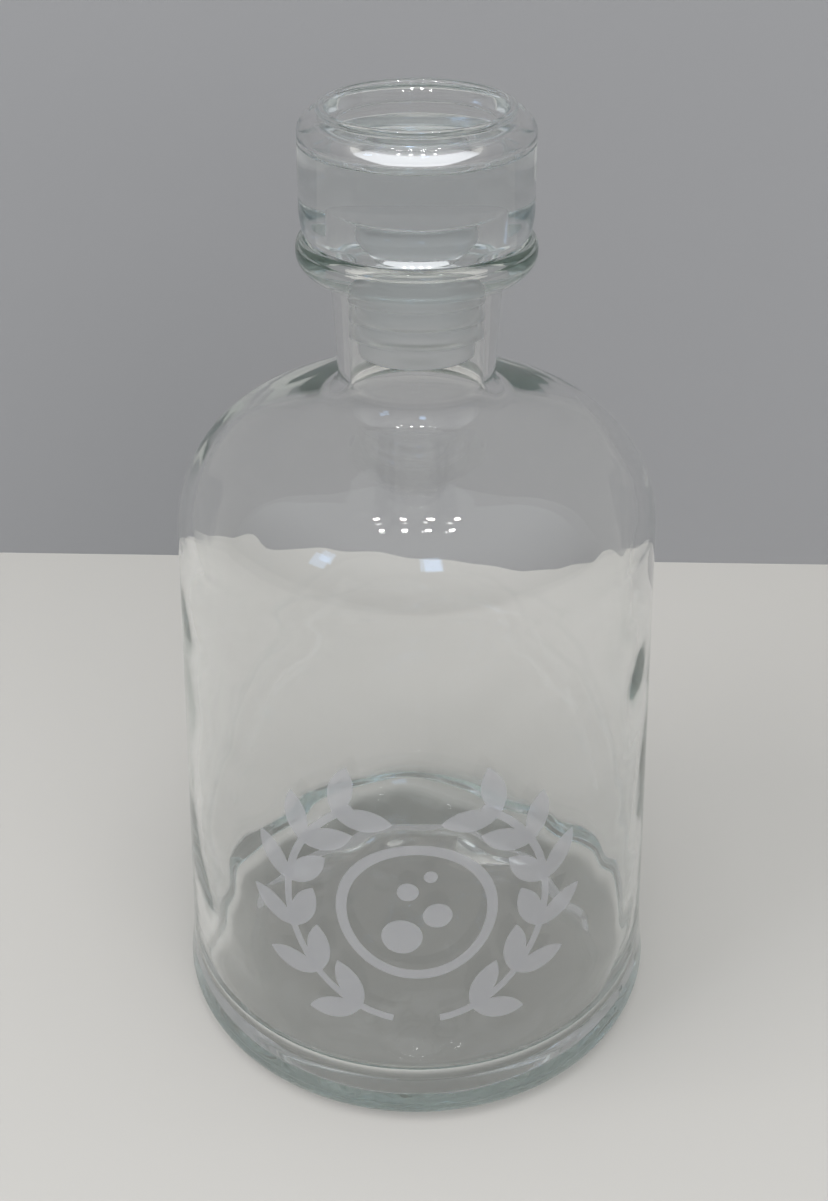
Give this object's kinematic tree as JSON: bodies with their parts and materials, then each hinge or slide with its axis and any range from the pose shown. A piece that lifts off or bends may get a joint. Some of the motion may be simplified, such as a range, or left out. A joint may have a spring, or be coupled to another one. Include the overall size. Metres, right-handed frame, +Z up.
{
  "type": "growler",
  "caption": "Clear glass growler: near-straight bottle with a round shoulder and beaded neck, closed by a heavy glass stopper with a dished top on a ribbed soft plug.",
  "frame": {"origin": "on the surface that the bottle stands on, under the centre of its base", "axes": "+Z up along the common axis of bottle, seal and stopper; the piece is round, so +X and -Y (the side that faced the camera) are free choices"},
  "size_m": [0.106, 0.106, 0.2047],
  "materials": {
    "bottle_glass": "clear, faint green-grey tint, gloss",
    "stopper_glass": "clear, gloss",
    "soft_seal": "milky, translucent, satin"
  },
  "bodies": {
    "bottle": {"bottle": "bottle_glass"},
    "seal": {"seal_sleeve": "soft_seal"},
    "stopper": {"stopper": "stopper_glass"}
  },
  "joints": [
    {"name": "stopper_lift", "type": "slide", "parent": "bottle", "child": "seal", "axis": [0, 0, 1], "range_m": [0, 0.04]},
    {"name": "stopper_turn", "type": "hinge", "parent": "seal", "child": "stopper", "pos_m": [0, 0, 0.1795], "axis": [0, 0, 1], "continuous": true}
  ]
}
